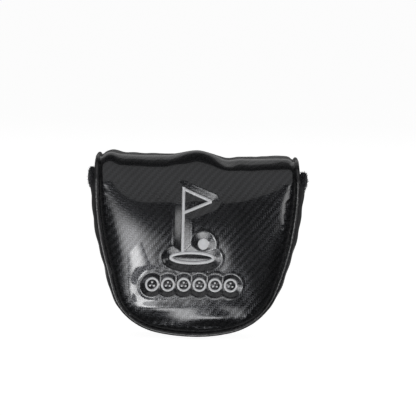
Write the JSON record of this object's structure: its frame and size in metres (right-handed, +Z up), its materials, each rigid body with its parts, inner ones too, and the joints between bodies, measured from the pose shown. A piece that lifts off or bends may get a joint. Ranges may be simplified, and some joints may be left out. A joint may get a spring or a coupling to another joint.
{
  "type": "putter head cover",
  "caption": "Padded cover for a mallet putter head: a piped front panel wraps over the top to a closing flap, with a bowed gusset and a knitted mouth.",
  "frame": {"origin": "middle of the pocket that holds the putter head, midway between bottom seam and top fold", "axes": "+X across the cover, +Y from the front panel to the back panel, +Z up towards the folded top"},
  "size_m": [0.1416, 0.054, 0.1155],
  "materials": {
    "carbon_leather": "patent gloss over a diagonal twill print",
    "plain_leather": "semi-gloss, fine grain",
    "piping_leather": "semi-gloss, wrapped on the bias",
    "foam": "soft",
    "plush": "brushed pile",
    "knit": "rib knit",
    "elastic": "flat woven elastic",
    "filler": "twisted cotton cord",
    "thread": "satin-stitched polyester",
    "stiffener": "felted",
    "hook": "moulded hooks",
    "loop": "napped loops"
  },
  "bodies": {
    "pouch": {"front_shell": "carbon_leather", "embroidery_backing": "stiffener", "front_foam": "foam", "front_lining": "plush", "emblem_embroidery": "thread", "row_embroidery": "thread", "front_piping": "piping_leather", "front_piping_cord": "filler", "gusset_shell": "plain_leather", "gusset_foam": "foam", "gusset_lining": "plush", "back_shell": "plain_leather", "back_foam": "foam", "back_lining": "plush", "back_piping": "piping_leather", "back_piping_cord": "filler", "mouth_cuff": "knit", "mouth_elastic": "elastic", "loop_patch": "loop"},
    "top_panel": {"top_shell": "carbon_leather", "top_foam": "foam", "top_lining": "plush", "top_piping": "piping_leather", "top_piping_cord": "filler"},
    "flap": {"flap_shell": "carbon_leather", "flap_foam": "foam", "flap_lining": "plush", "flap_piping": "piping_leather", "flap_piping_cord": "filler", "hook_patch": "hook"}
  },
  "joints": [
    {"name": "top_fold", "type": "hinge", "parent": "pouch", "child": "top_panel", "pos_m": [0, -0.0154, 0.0521], "axis": [1, 0, 0], "range_deg": [0, 100]},
    {"name": "flap_fold", "type": "hinge", "parent": "top_panel", "child": "flap", "pos_m": [0, 0.02555, 0.05305], "axis": [1, 0, 0], "range_deg": [0, 85]}
  ]
}
